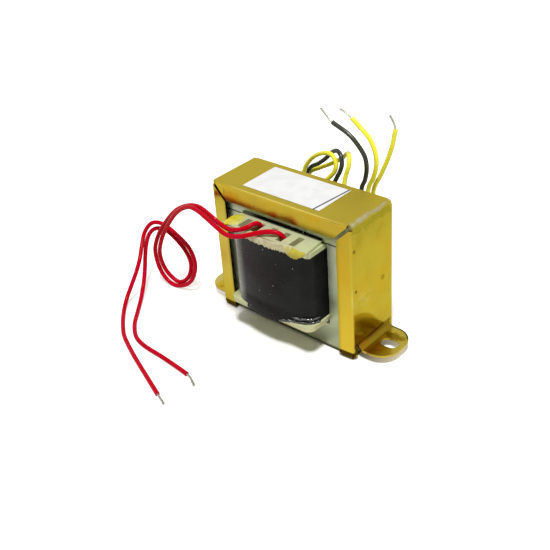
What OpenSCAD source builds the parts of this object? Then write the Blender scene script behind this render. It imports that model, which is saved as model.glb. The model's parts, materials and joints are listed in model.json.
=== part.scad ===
// Open-frame mains transformer with flying leads.
// An interleaved EI core holds a moulded bobbin with two windings. A folded
// steel channel grips the core and carries two slotted mounting feet.
// Millimetres. Z is up, X runs from foot to foot and -Y is the primary side.
// The origin is on the floor, midway between the feet.

/* [Core] */
// Width of the laminations, along X
lam_w = 57; // [50:0.5:64]
// Height of an E and its I together
lam_h = 49.2; // [45:0.1:56]
// Width of the centre leg
tongue_w = 19; // [15:0.5:20]
// Width of the outer legs
leg_w = 9.8; // [8.5:0.1:10.5]
// Height of the yoke and of the I
yoke_h = 9.1; // [8:0.1:10]
// Thickness of the whole stack, along Y
stack_d = 20; // [16:0.5:26]
// Groups of laminations that point up and down in turn
stack_groups = 5; // [3:2:9]
// Air gap at the butt joint between an E and its I
joint_gap = 0.1; // [0.05:0.05:0.3]

/* [Frame] */
// Thickness of the frame's steel sheet
sheet_t = 0.8; // [0.6:0.1:1.2]
// Clearance between the core and the frame
core_gap = 0.2; // [0.15:0.05:0.4]
// Clearance between the core and the lips on its front
front_gap = 0.7; // [0.2:0.05:1]
// Width of the lips over the core's front and back
lip_w = 5.9; // [4.5:0.1:7]
// Width of the open mitre where two lips meet
mitre_gap = 1.2; // [0.4:0.1:1.8]
// Width of the crimped tabs under the core
tab_w = 4.2; // [3:0.1:4.4]
// Reach of the crimped tabs under the core
tab_l = 5; // [3:0.5:7]

/* [Feet] */
// Reach of each foot beyond its side wall
foot_reach = 11.4; // [10.8:0.1:16]
// Height of the feet's underside over the floor
foot_lift = 2.9; // [0.2:0.1:3.5]
// Radius inside the fold of the foot
foot_fold_r = 2.4; // [1:0.1:2.8]
// Width of the relief cut at each side of a foot
foot_notch = 0.5; // [0.3:0.1:1]
// Width of the flat wall left beside a relief cut
foot_ear = 1.1; // [0.5:0.1:2]
// Corner radius of a foot's end
foot_corner_r = 7; // [3:0.1:7]
// Width of the mounting slots
slot_w = 4.6; // [3.2:0.1:5]
// Length of the mounting slots, along X
slot_l = 6.2; // [5.2:0.1:7]
// Distance of the slots' centres from the side walls
slot_reach = 6.5; // [6.2:0.1:7]

/* [Bobbin] */
// Wall of the bobbin's tube
former_wall = 1.0; // [0.8:0.1:1.5]
// Clearance between the tube and the centre leg
former_gap = 0.2; // [0.1:0.05:0.4]
// Clearance over the bobbin in the core's window
bobbin_top_gap = 0.2; // [0.1:0.05:0.5]
// Clearance under the bobbin in the core's window
bobbin_bottom_gap = 1; // [0.2:0.1:2]
// Thickness of the flanges
flange_t = 1.7; // [1.4:0.1:2.4]
// Clearance between the flanges and the outer legs
flange_gap = 0.7; // [0.4:0.1:1.5]
// How much more the flanges stand out from the tube in front than at its sides
flange_front_extra = 1; // [0:0.1:1.5]
// Corner radius of the bottom flange
flange_corner_r = 3; // [1:0.5:4]
// Corner radius of the top flange
top_corner_r = 0.8; // [0.4:0.1:2]
// Height of the lead ledges over the top flange
ledge_raise = 1.1; // [0.4:0.1:1.5]
// Thickness of the lead ledges
ledge_t = 2; // [1.6:0.1:2.4]
// Overhang of the lead ledges in front of the top flange
ledge_overhang = 1.2; // [0.4:0.1:1.6]
// Gap between the core's face and a lead ledge
ledge_gap = 0.5; // [0.3:0.1:1]
// How much narrower a lead ledge is at the core, on each side
ledge_taper = 0.9; // [0:0.1:1.5]
// Number of lead slots in each ledge
lead_slots = 5; // [3:2:5]
// Spacing of the lead slots
lead_slot_pitch = 5.5; // [4:0.1:6]
// Width of a lead slot
lead_slot_w = 2.3; // [1.8:0.1:2.6]
// Wall between the lead slots and the bobbin's tube
lead_slot_root = 1.5; // [1:0.1:2.5]
// Wall between the lead slots and the ledge's outer edge
lead_slot_rim = 1.2; // [0.8:0.1:1.6]

/* [Windings] */
// Share of the copper's build that the primary winding takes
primary_share = 0.493; // [0.35:0.001:0.65]
// Build of the insulation between the windings
insulation_t = 0.4; // [0.2:0.1:0.6]
// Room between the outer wrap and the flanges' edges in the core's window
coil_edge_gap = 0.65; // [0.4:0.05:1.2]
// Thickness of the outer wrap of tape
tape_t = 0.5; // [0.2:0.1:0.6]
// Room left between one layer and the next
layer_gap = 0.05; // [0.02:0.01:0.08]
// Extra build at the middle of the open sides, where the turns bow out
coil_bow = 2.1; // [0:0.1:3]
// Radius of the bowed face of the outer wrap
coil_crown_r = 45; // [40:1:90]
// Corner radius of the outer wrap
coil_corner_r = 6; // [1:0.1:8]

/* [Label] */
// Length of the paper label on the top, along X
label_l = 32.5; // [20:0.1:40]
// Width of the label
label_w = 16.6; // [8:0.1:18]
// Thickness of the label
label_t = 0.12; // [0.08:0.01:0.2]
// Offset of the label from the frame's middle, along X
label_x = -1.1; // [-6:0.1:6]
// Offset of the label from the frame's middle, along Y
label_y = -0.2; // [-1:0.1:1]

/* [Leads] */
// Diameter of a lead over its insulation
lead_d = 1.6; // [1:0.1:1.9]
// Diameter of the tinned strands at a lead's stripped end
strand_d = 0.8; // [0.5:0.1:1]

/* [Hidden] */
$fn = 64;
// Overlap that lets one cut run clear of a face
cut = 1;

// The core stands on the tabs that are crimped under it.
core_z = sheet_t;
e_h = lam_h - yoke_h;
window_w = (lam_w - tongue_w) / 2 - leg_w;
group_d = stack_d / stack_groups;

// Outer half sizes of the frame, whose lips stand further off the core's front
// than off its back
half_w = lam_w / 2 + core_gap + sheet_t;
half_d = (stack_d + core_gap + front_gap) / 2 + sheet_t;
frame_y = (core_gap - front_gap) / 2;
top_z = core_z + lam_h + core_gap + sheet_t;
fold_in = core_gap;
fold_out = fold_in + sheet_t;
flat_x = half_w - fold_out;
flat_y = half_d - fold_out;
flat_z = top_z - fold_out;
// Each lip stops short of the mitre line by half the gap, measured along it.
mitre_back = mitre_gap / sqrt(2);

// The feet fold out of the middle of the side walls.
foot_w = 2 * (flat_y - foot_notch - foot_ear);
foot_top = foot_lift + sheet_t;
foot_fold_z = foot_top + foot_fold_r;
// The front and back lips' ends bend round the core's edges.
crimp_r = [front_gap, core_gap];

// The bobbin's tube runs on the centre leg, between the two ends of the window.
tube_x = tongue_w / 2 + former_gap + former_wall;
tube_y = stack_d / 2 + former_gap + former_wall;
bobbin_low = core_z + yoke_h + bobbin_bottom_gap;
bobbin_high = core_z + e_h - bobbin_top_gap;
flange_x = lam_w / 2 - leg_w - flange_gap;
flange_y = tube_y + flange_x - tube_x + flange_front_extra;
ledge_z = bobbin_high + ledge_raise;
lead_slot_l = flange_y - tube_y - lead_slot_rim - lead_slot_root;
lead_slot_y = flange_y - lead_slot_rim - lead_slot_l / 2;

// The outer wrap ends inside the flanges' edges, and the two windings share
// the room that is left under it.
coil_low = bobbin_low + flange_t + layer_gap;
coil_high = bobbin_high - flange_t - layer_gap;
tape_out = flange_x - tube_x - coil_edge_gap;
copper_build = tape_out - tape_t - insulation_t - 3 * layer_gap;
primary_out = primary_share * copper_build;
insulation_out = primary_out + layer_gap + insulation_t;
secondary_out = tape_out - tape_t - layer_gap;

// Routes of the leads, chosen by hand. The last two points of each lie in its
// stripped end, which the insulation leaves bare.
primary_route_a = [
    [-5.5, -13.6, 39.2], [-5.5, -14, 41.6], [-5.6, -15.5, 43.3], [-6, -17.3, 43.6], [-7.2, -19.3, 42.9],
    [-9.7, -20.7, 42], [-13.4, -21, 41.2], [-18.6, -20.2, 41.5], [-25.7, -18.3, 42.3],
    [-31.4, -17, 42.5], [-37.5, -16.2, 40.8], [-44.3, -15.9, 36.9], [-51, -15.4, 30.4],
    [-57.4, -15.2, 22.1], [-61.1, -15, 13.3], [-59.1, -14.8, 4.5], [-53.2, -14.3, 0.9],
    [-45.5, -13.4, 4.5], [-42.4, -12.4, 11.9], [-45, -11.6, 18.2], [-51.7, -11.6, 22.6],
    [-57.9, -11.9, 25], [-62.6, -13.2, 24.6], [-64.5, -15.8, 21.3], [-63, -19.4, 17.5],
    [-60.8, -23, 14.4], [-59.8, -26.4, 10.7], [-59.6, -29.8, 6.6], [-59.2, -33, 3.1], [-57, -36.7, 1.1],
    [-52.6, -41.2, 0.85], [-48.2, -45, 0.85], [-43.6, -48.3, 0.85], [-33.4, -53.3, 0.85],
    [-21.5, -58.4, 0.85], [-10.8, -62.9, 0.85], [-8.3, -63.9, 0.85], [-5.8, -64.9, 0.85],
];
primary_route_b = [
    [5.8, -15.3, 39.2], [5.6, -15.5, 41.5], [4.4, -16.3, 43.1], [2.2, -17.5, 43.6], [-0.5, -19.1, 43.3],
    [-3.8, -21, 42.3], [-7.8, -22.6, 41], [-12.8, -22.9, 40.2], [-17.8, -22.2, 41],
    [-24.5, -20.4, 41.8], [-29.9, -19.2, 42.5], [-35.2, -18.3, 41.8], [-41.6, -17.7, 37.9],
    [-47.6, -17.2, 31.5], [-53.4, -16.6, 23.4], [-57.5, -15.8, 14.5], [-57.1, -14.4, 6.4],
    [-52.5, -13, 2.1], [-47.4, -12.2, 5.4], [-45.8, -11.4, 11.3], [-48.7, -10.6, 15.8],
    [-54, -10.4, 19.6], [-58.6, -11, 22.1], [-62.4, -12.4, 21.8], [-64.2, -14.2, 19.6],
    [-64, -16.4, 16.4], [-63.1, -18.4, 12.9], [-61.6, -20.6, 9.5], [-60.2, -23, 5.9],
    [-58.5, -25.8, 3.1], [-55.8, -29.6, 1.4], [-51.1, -35.6, 0.85], [-46.4, -41.1, 0.85],
    [-40.4, -45.7, 0.85], [-33.7, -47.7, 0.85], [-23.2, -48.5, 0.85], [-10.4, -50, 0.85],
    [-7.3, -51.1, 0.85], [-4.4, -52.7, 0.85],
];
secondary_route_a = [
    [-5.5, 17.3, 39.2], [-5.4, 17.3, 41.8], [-4.2, 17.5, 44.4], [-1.8, 17.8, 47], [0.2, 18.1, 49.4],
    [0.9, 18.5, 51.9], [-0.1, 19, 54.2], [-2.5, 19.7, 55.1], [-5.8, 20.4, 54.3], [-10, 21.2, 52],
    [-13.5, 21.8, 48.9], [-16.4, 22.2, 44.4], [-18.4, 22.8, 36], [-18.6, 23, 26], [-16.4, 23, 15],
    [-11.4, 23, 5.4], [-4, 23, 0.85], [3.6, 23, 4.4], [9, 22.9, 12], [11.4, 22.8, 22], [11.6, 22.6, 33],
    [11.4, 22.4, 43.8], [14, 22, 49.7], [15.2, 22, 54.9], [14.5, 22, 59.7], [12.2, 22, 63.7],
    [8.6, 22, 66.6], [5.4, 22, 69], [2.9, 22, 70.4], [0.6, 22, 71.1],
];
centre_tap_route = [
    [0, 17.3, 39.2], [0, 17.3, 41.8], [0, 17.8, 44.4], [0.9, 18.6, 47.2], [2.1, 19.2, 50],
    [2.4, 19.9, 52.6], [1.2, 20.9, 54.9], [-1.2, 22, 55.6], [-4.2, 22.9, 54], [-7.3, 23.4, 50.8],
    [-11, 23.8, 47.7], [-15.7, 24.2, 44.3], [-19.2, 24.6, 37], [-20.2, 24.8, 27], [-18, 24.8, 15],
    [-12, 24.8, 5.2], [-4, 24.8, 0.85], [3.6, 24.9, 4], [7.6, 24.9, 11.4], [9, 24.4, 22],
    [8.9, 23.2, 34], [8.9, 22, 43.5], [10.9, 21.4, 48.2], [11.9, 21, 52.9], [11.1, 21, 57.1],
    [8, 21, 60.9], [4.3, 21, 63.7], [-2, 21, 66.3], [-4.5, 21, 68.3], [-6.7, 21, 70.5],
];
secondary_route_b = [
    [5.5, 17.3, 39.2], [5.5, 17.3, 41.8], [5, 17.6, 44.4], [4.6, 18.3, 47], [4.8, 19, 49.6],
    [5.3, 19.7, 52], [5, 20.7, 54.2], [3.6, 22.3, 55.3], [1.4, 24, 54.4], [-1.4, 25.3, 51.7],
    [-6, 25.9, 48.4], [-12.4, 26.1, 44.7], [-17.4, 26.2, 41.4], [-20.8, 26.6, 34.6], [-21.6, 26.8, 25],
    [-19.2, 26.8, 13.6], [-12.8, 26.8, 4.6], [-4, 26.8, 0.85], [4.4, 26.8, 4.4], [9.8, 26.8, 12.6],
    [12, 25.8, 23], [12.3, 24.8, 34], [12.5, 24, 43.4], [15.5, 24, 50.1], [18.1, 24, 56],
    [20.1, 24, 61.8], [20.9, 24, 65.7], [21.3, 24, 67.9], [20.5, 24, 70.2], [19.2, 24, 72.3],
];
lead_sides = 8;
ring_steps = 2;
bare_points = 2;

// Steps along the arcs of the coil's section
corner_steps = 6;
crown_steps = 18;

// Colours of the materials
chromate_colour = [0.72, 0.62, 0.24];
steel_colour = [0.58, 0.61, 0.52];
ivory_colour = [0.87, 0.86, 0.74];
copper_colour = [0.72, 0.36, 0.16];
film_colour = [0.86, 0.76, 0.42];
tape_colour = [0.1, 0.1, 0.1];
paper_colour = [0.94, 0.94, 0.95];
red_colour = [0.82, 0.07, 0.12];
yellow_colour = [0.92, 0.87, 0.15];
black_colour = [0.16, 0.17, 0.12];
tin_colour = [0.72, 0.72, 0.7];

// Half a disc, with its flat side on the Y axis
module half_disc(r) {
    intersection() {
        circle(r);
        translate([0, -2 * r]) square([2 * r, 4 * r]);
    }
}

// A slot with round ends, of length l along X and width w
module slot_outline(l, w) {
    straight = l - w;
    square([straight, w], center = true);
    for (s = [0, 1]) mirror([s, 0]) translate([straight / 2, 0]) half_disc(w / 2);
}

// A rectangle with half sizes x and y and round corners of radius r
module round_rect(x, y, r) {
    square([2 * (x - r), 2 * y], center = true);
    for (s = [0, 1], t = [0, 1]) mirror([s, 0]) mirror([0, t]) {
        translate([x - r, 0]) square([r, y - r]);
        translate([x - r, y - r]) intersection() {
            circle(r);
            square(2 * r);
        }
    }
}

// A quarter of a fold of inside radius r and length l, about the Y axis,
// from the +Z side to the +X side
module fold(r, l) {
    rotate([90, 0, 0]) translate([0, 0, -l / 2])
        rotate_extrude(angle = 90) translate([r, 0]) square([sheet_t, l]);
}

// The folded channel: the top, two side walls with their feet, and the lips
module frame() {
    color(chromate_colour) translate([0, frame_y, 0]) union() {
        translate([-flat_x, -flat_y, top_z - sheet_t]) cube([2 * flat_x, 2 * flat_y, sheet_t]);
        for (s = [0, 1]) mirror([s, 0, 0]) {
            frame_side();
            translate([flat_x, 0, flat_z]) fold(fold_in, 2 * flat_y);
            for (t = [0, 1]) mirror([0, t, 0]) {
                side_lip(crimp_r[t]);
                crimp_tab(crimp_r[t]);
            }
        }
        for (t = [0, 1]) mirror([0, t, 0]) top_lip();
    }
}

// A side wall and its foot
module frame_side() {
    translate([half_w - sheet_t, -flat_y, foot_fold_z])
        cube([sheet_t, 2 * flat_y, flat_z - foot_fold_z]);
    for (t = [0, 1]) mirror([0, t, 0]) translate([half_w - sheet_t, flat_y - foot_ear, core_z])
        cube([sheet_t, foot_ear, foot_fold_z - core_z]);
    translate([half_w + foot_fold_r, 0, foot_fold_z])
        rotate([0, 180, 0]) fold(foot_fold_r, foot_w);
    translate([0, 0, foot_lift]) linear_extrude(sheet_t) difference() {
        foot_outline();
        translate([half_w + slot_reach, 0]) slot_outline(slot_l, slot_w);
    }
}

// The flat of a foot, with round corners at its end
module foot_outline() {
    start = half_w + foot_fold_r;
    intersection() {
        translate([half_w, 0]) round_rect(foot_reach, foot_w / 2, foot_corner_r);
        translate([start, -foot_w]) square([foot_reach, 2 * foot_w]);
    }
}

// The lip that folds down from the top over the core's front
module top_lip() {
    long = flat_x - mitre_back;
    short = half_w - lip_w - mitre_back;
    translate([0, -flat_y, flat_z]) rotate([0, 0, -90]) fold(fold_in, 2 * long);
    translate([0, sheet_t - half_d, 0]) rotate([90, 0, 0]) linear_extrude(sheet_t)
        polygon([[-long, flat_z], [long, flat_z], [short, top_z - lip_w], [-short, top_z - lip_w]]);
}

// The lip that folds in from a side wall, with its upper end cut to the mitre
// and its lower end over a bend of inside radius r
module side_lip(r) {
    high = flat_z - mitre_back;
    low = top_z - lip_w - mitre_back;
    base = core_z + r;
    translate([flat_x, -flat_y, base]) rotate([0, 0, -90])
        rotate_extrude(angle = 90) translate([fold_in, 0]) square([sheet_t, high - base]);
    translate([0, sheet_t - half_d, 0]) rotate([90, 0, 0]) linear_extrude(sheet_t)
        polygon([[flat_x, base], [flat_x, high], [half_w - lip_w, low], [half_w - lip_w, base]]);
}

// The end of a side lip, bent round to inside radius r and hammered flat under the core
module crimp_tab(r) {
    inner_y = sheet_t - half_d;
    translate([flat_x - tab_w / 2, inner_y + r, core_z + r])
        rotate([0, 0, 90]) rotate([0, 180, 0]) fold(r, tab_w);
    translate([flat_x - tab_w, inner_y + r, 0]) cube([tab_w, tab_l - r, sheet_t]);
}

// Outline of one E, standing on its yoke
module e_outline() {
    difference() {
        translate([-lam_w / 2, 0]) square([lam_w, e_h]);
        for (s = [0, 1]) mirror([s, 0])
            translate([tongue_w / 2, yoke_h]) square([window_w, e_h]);
    }
}

// Outline of one I, lying over an E's open end
module i_outline() {
    translate([-lam_w / 2, e_h + joint_gap]) square([lam_w, yoke_h - joint_gap]);
}

// Every second group of the stack, counted from the front
module core_groups(first) {
    for (k = [first : 2 : stack_groups - 1])
        translate([0, (k + 1) * group_d - stack_d / 2, core_z])
            rotate([90, 0, 0]) linear_extrude(group_d) children();
}

// Turns an outline of the core upside down
module turned() {
    translate([0, lam_h]) mirror([0, 1]) children();
}

module e_laminations_upright() {
    color(steel_colour) core_groups(0) e_outline();
}

module i_laminations_top() {
    color(steel_colour) core_groups(0) i_outline();
}

module e_laminations_inverted() {
    color(steel_colour) core_groups(1) turned() e_outline();
}

module i_laminations_bottom() {
    color(steel_colour) core_groups(1) turned() i_outline();
}

// The row of lead slots along a ledge
module lead_slot_row() {
    for (k = [0 : lead_slots - 1])
        translate([(k - (lead_slots - 1) / 2) * lead_slot_pitch, lead_slot_y])
            square([lead_slot_w, lead_slot_l], center = true);
}

// The moulded bobbin: a square tube, two flanges and the two lead ledges
module bobbin() {
    ledge_start = stack_d / 2 + ledge_gap;
    ledge_x = flange_x - ledge_taper;
    color(ivory_colour) difference() {
        union() {
            translate([-tube_x, -tube_y, bobbin_low])
                cube([2 * tube_x, 2 * tube_y, bobbin_high - bobbin_low]);
            translate([0, 0, bobbin_low]) linear_extrude(flange_t)
                round_rect(flange_x, flange_y, flange_corner_r);
            translate([0, 0, bobbin_high - flange_t]) linear_extrude(flange_t)
                round_rect(flange_x, flange_y - ledge_overhang, top_corner_r);
            translate([0, 0, ledge_z - ledge_t]) linear_extrude(ledge_t)
                for (t = [0, 1]) mirror([0, t]) polygon([
                    [-ledge_x, ledge_start], [ledge_x, ledge_start], [flange_x, flange_y], [-flange_x, flange_y],
                ]);
        }
        translate([former_wall - tube_x, former_wall - tube_y, bobbin_low - cut])
            cube([2 * (tube_x - former_wall), 2 * (tube_y - former_wall), ledge_z - bobbin_low + 2 * cut]);
        for (t = [0, 1]) mirror([0, t, 0])
            translate([0, 0, bobbin_high - flange_t - cut]) linear_extrude(ledge_raise + flange_t + 2 * cut)
                lead_slot_row();
    }
}

// Points along an arc, from one angle to another, without its last point
function arc(centre, r, from, to, steps) = [
    for (k = [0 : steps - 1])
        let (a = from + (to - from) * k / steps)
        centre + r * [cos(a), sin(a)]
];

// Section of the coil out to a given build: flat sides in the core's window,
// bowed faces in the open, and corners rounded to run into both.
module coil_section(build) {
    inset = tape_out - build;
    x = tube_x + build;
    y = tube_y + build + coil_bow;
    crown_r = coil_crown_r - inset;
    corner_r = max(coil_corner_r - inset, layer_gap);
    crown_y = y - crown_r;
    corner_x = x - corner_r;
    corner_y = crown_y + sqrt(pow(crown_r - corner_r, 2) - pow(corner_x, 2));
    lean = atan2(corner_y - crown_y, corner_x);
    half = concat(
        arc([corner_x, corner_y], corner_r, 0, lean, corner_steps),
        arc([0, crown_y], crown_r, lean, 180 - lean, crown_steps),
        arc([-corner_x, corner_y], corner_r, 180 - lean, 180, corner_steps),
        [[-x, corner_y]]
    );
    polygon(concat(half, -half));
}

// One layer of the coil, between two builds
module coil_layer(inner, outer) {
    translate([0, 0, coil_low]) linear_extrude(coil_high - coil_low) difference() {
        coil_section(outer);
        coil_section(inner);
    }
}

// The primary lies straight on the bobbin's tube.
module primary_winding() {
    color(copper_colour)
        translate([0, 0, coil_low]) linear_extrude(coil_high - coil_low) difference() {
            coil_section(primary_out);
            square([2 * (tube_x + layer_gap), 2 * (tube_y + layer_gap)], center = true);
        }
}

module interwinding_insulation() {
    color(film_colour) coil_layer(primary_out + layer_gap, insulation_out);
}

module secondary_winding() {
    color(copper_colour) coil_layer(insulation_out + layer_gap, secondary_out);
}

module outer_tape() {
    color(tape_colour) coil_layer(secondary_out + layer_gap, tape_out);
}

// The paper label stuck on the frame's top
module label() {
    color(paper_colour) translate([label_x - label_l / 2, frame_y + label_y - label_w / 2, top_z])
        cube([label_l, label_w, label_t]);
}

// A smooth curve through the points of a route, with even steps in each span
function route_point(r, k) = r[min(max(k, 0), len(r) - 1)];
function span_point(p, q, r, s, t) =
    0.5 * ((2 * q) + (r - p) * t + (2 * p - 5 * q + 4 * r - s) * t * t
    + (3 * q - p - 3 * r + s) * t * t * t);
function smooth(r) = [
    for (k = [0 : len(r) - 2], j = [0 : ring_steps - 1])
        span_point(route_point(r, k - 1), r[k], r[k + 1], route_point(r, k + 2), j / ring_steps),
    r[len(r) - 1],
];
function unit(v) = v / norm(v);
function heading(p, k) = unit(route_point(p, k + 1) - route_point(p, k - 1));
// The side direction is carried along the curve, so that the tube never twists.
function carried(side, h) = unit(side - (side * h) * h);
function side_directions(p) = [
    for (k = 0, side = carried([0.6, 0.5, 0.4], heading(p, 0)); k < len(p);
        k = k + 1, side = carried(side, heading(p, k))) side
];

// A round bar swept along the part of a curve between two of its rings
module swept_bar(path, first, last, d) {
    n = lead_sides;
    sides = side_directions(path);
    rings = last - first + 1;
    points = [
        for (k = [first : last], a = [0 : n - 1])
            path[k] + d / 2 * (cos(360 * a / n) * sides[k]
            + sin(360 * a / n) * cross(heading(path, k), sides[k])),
    ];
    walls = [
        for (k = [0 : rings - 2], a = [0 : n - 1], half = [0, 1])
            let (b = (a + 1) % n, low = k * n, high = low + n)
            half == 0 ? [low + b, low + a, high + a] : [low + b, high + a, high + b],
    ];
    near_cap = [[for (a = [0 : n - 1]) a]];
    far_cap = [[for (a = [n - 1 : -1 : 0]) (rings - 1) * n + a]];
    polyhedron(points, concat(walls, near_cap, far_cap));
}

// The insulated length of a lead
module lead(route) {
    path = smooth(route);
    swept_bar(path, 0, len(path) - 1 - bare_points * ring_steps, lead_d);
}

// The twisted, tinned strands at a lead's stripped end
module strands(route) {
    path = smooth(route);
    swept_bar(path, len(path) - 1 - bare_points * ring_steps, len(path) - 1, strand_d);
}

module primary_lead_a() { color(red_colour) lead(primary_route_a); }
module primary_lead_b() { color(red_colour) lead(primary_route_b); }
module secondary_lead_a() { color(yellow_colour) lead(secondary_route_a); }
module centre_tap_lead() { color(black_colour) lead(centre_tap_route); }
module secondary_lead_b() { color(yellow_colour) lead(secondary_route_b); }
module primary_strands_a() { color(tin_colour) strands(primary_route_a); }
module primary_strands_b() { color(tin_colour) strands(primary_route_b); }
module secondary_strands_a() { color(tin_colour) strands(secondary_route_a); }
module centre_tap_strands() { color(tin_colour) strands(centre_tap_route); }
module secondary_strands_b() { color(tin_colour) strands(secondary_route_b); }

frame();
e_laminations_upright();
i_laminations_top();
e_laminations_inverted();
i_laminations_bottom();
bobbin();
primary_winding();
interwinding_insulation();
secondary_winding();
outer_tape();
label();
primary_lead_a();
primary_lead_b();
secondary_lead_a();
centre_tap_lead();
secondary_lead_b();
primary_strands_a();
primary_strands_b();
secondary_strands_a();
centre_tap_strands();
secondary_strands_b();
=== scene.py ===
import json
import math

import bmesh
import bpy
from mathutils import Matrix, Vector, noise
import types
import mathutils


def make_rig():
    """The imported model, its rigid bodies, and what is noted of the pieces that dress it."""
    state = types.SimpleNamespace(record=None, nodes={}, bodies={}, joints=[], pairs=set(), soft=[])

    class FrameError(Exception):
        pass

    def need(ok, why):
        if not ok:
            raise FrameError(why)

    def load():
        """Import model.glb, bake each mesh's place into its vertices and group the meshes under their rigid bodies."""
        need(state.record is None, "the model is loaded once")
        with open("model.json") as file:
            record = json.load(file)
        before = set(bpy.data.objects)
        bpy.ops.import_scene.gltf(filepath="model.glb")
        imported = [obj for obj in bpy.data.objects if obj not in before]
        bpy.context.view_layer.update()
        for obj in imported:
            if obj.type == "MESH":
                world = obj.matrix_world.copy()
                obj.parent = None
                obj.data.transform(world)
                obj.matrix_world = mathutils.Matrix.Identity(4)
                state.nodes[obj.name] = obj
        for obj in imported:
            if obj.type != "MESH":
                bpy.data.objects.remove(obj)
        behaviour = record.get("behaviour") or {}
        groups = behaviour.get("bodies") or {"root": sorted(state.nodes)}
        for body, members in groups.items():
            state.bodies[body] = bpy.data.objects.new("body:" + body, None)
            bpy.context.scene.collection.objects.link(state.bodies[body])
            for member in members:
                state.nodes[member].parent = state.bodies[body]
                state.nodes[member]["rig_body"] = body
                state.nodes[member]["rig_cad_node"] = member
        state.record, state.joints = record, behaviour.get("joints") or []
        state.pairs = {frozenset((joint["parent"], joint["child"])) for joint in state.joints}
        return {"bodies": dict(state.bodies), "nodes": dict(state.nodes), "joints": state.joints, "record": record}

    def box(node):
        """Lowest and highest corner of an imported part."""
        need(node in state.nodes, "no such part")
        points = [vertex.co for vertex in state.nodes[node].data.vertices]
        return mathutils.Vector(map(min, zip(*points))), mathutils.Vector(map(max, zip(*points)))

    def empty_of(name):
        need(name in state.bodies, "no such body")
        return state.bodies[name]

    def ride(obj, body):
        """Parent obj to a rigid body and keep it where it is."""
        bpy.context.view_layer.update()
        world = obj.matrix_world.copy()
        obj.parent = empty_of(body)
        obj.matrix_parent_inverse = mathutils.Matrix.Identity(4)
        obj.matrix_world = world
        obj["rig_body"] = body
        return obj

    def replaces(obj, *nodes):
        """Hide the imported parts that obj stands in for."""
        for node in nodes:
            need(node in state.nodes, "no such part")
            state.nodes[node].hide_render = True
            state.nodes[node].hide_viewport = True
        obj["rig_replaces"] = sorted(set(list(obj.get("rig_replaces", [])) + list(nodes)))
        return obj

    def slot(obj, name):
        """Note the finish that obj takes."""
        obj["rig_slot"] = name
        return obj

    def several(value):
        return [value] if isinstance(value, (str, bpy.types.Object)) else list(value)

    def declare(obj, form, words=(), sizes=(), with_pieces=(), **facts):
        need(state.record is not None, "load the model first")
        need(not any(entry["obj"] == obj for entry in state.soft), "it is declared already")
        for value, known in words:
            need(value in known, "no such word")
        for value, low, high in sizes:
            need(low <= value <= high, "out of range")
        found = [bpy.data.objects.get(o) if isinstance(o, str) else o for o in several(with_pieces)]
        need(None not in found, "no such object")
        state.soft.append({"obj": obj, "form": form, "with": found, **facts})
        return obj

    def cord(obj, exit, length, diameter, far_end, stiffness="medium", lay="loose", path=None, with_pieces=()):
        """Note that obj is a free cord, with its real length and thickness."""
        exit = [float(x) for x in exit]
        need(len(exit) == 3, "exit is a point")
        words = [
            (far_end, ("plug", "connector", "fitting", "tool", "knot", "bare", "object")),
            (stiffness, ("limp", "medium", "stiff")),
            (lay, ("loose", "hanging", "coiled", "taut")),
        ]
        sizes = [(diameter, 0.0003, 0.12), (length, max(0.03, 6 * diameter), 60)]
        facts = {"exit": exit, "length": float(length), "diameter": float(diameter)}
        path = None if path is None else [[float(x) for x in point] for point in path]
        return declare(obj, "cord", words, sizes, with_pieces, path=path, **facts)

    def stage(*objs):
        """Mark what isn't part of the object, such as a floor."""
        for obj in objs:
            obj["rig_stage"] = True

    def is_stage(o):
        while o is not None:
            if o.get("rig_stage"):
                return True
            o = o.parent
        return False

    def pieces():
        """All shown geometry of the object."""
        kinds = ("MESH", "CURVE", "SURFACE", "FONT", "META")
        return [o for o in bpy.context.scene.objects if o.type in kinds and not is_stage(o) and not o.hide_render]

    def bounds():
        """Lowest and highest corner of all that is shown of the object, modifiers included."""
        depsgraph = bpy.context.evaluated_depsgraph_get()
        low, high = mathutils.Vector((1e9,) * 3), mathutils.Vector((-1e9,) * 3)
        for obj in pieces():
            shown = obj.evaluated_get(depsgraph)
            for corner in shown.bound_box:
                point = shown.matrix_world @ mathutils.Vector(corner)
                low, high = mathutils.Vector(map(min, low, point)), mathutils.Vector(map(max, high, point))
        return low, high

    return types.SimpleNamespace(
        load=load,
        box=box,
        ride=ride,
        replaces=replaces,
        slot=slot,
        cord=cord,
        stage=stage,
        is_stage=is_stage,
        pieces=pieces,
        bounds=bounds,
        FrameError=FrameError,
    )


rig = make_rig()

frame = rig.load()
cad_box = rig.bounds()
scene = bpy.context.scene
scene.view_settings.view_transform = "Standard"

# Camera
# It stands in front of the primary side, to the right and above, and leans by
# a few degrees. The lens is a short telephoto on a 36 mm sensor.
MM = 0.001
azimuth = math.radians(43.16)
elevation = math.radians(32.21)
lean = math.radians(-4.49)
sensor_mm = 36
lens_mm = 58.91
camera_place = Vector((173.6, -200.1, 185.0)) * MM

backward = Vector((
    math.sin(azimuth) * math.cos(elevation),
    -math.cos(azimuth) * math.cos(elevation),
    math.sin(elevation),
))
level = Vector((math.cos(azimuth), math.sin(azimuth), 0))
rightward = level * math.cos(lean) + backward.cross(level) * math.sin(lean)
camera_data = bpy.data.cameras.new("camera")
camera_data.sensor_width = sensor_mm
camera_data.lens = lens_mm
camera_data.clip_start = 10 * MM
camera = bpy.data.objects.new("camera", camera_data)
camera.matrix_world = Matrix((rightward, backward.cross(rightward), backward)).transposed().to_4x4()
camera.location = camera_place
scene.collection.objects.link(camera)
scene.camera = camera


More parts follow.
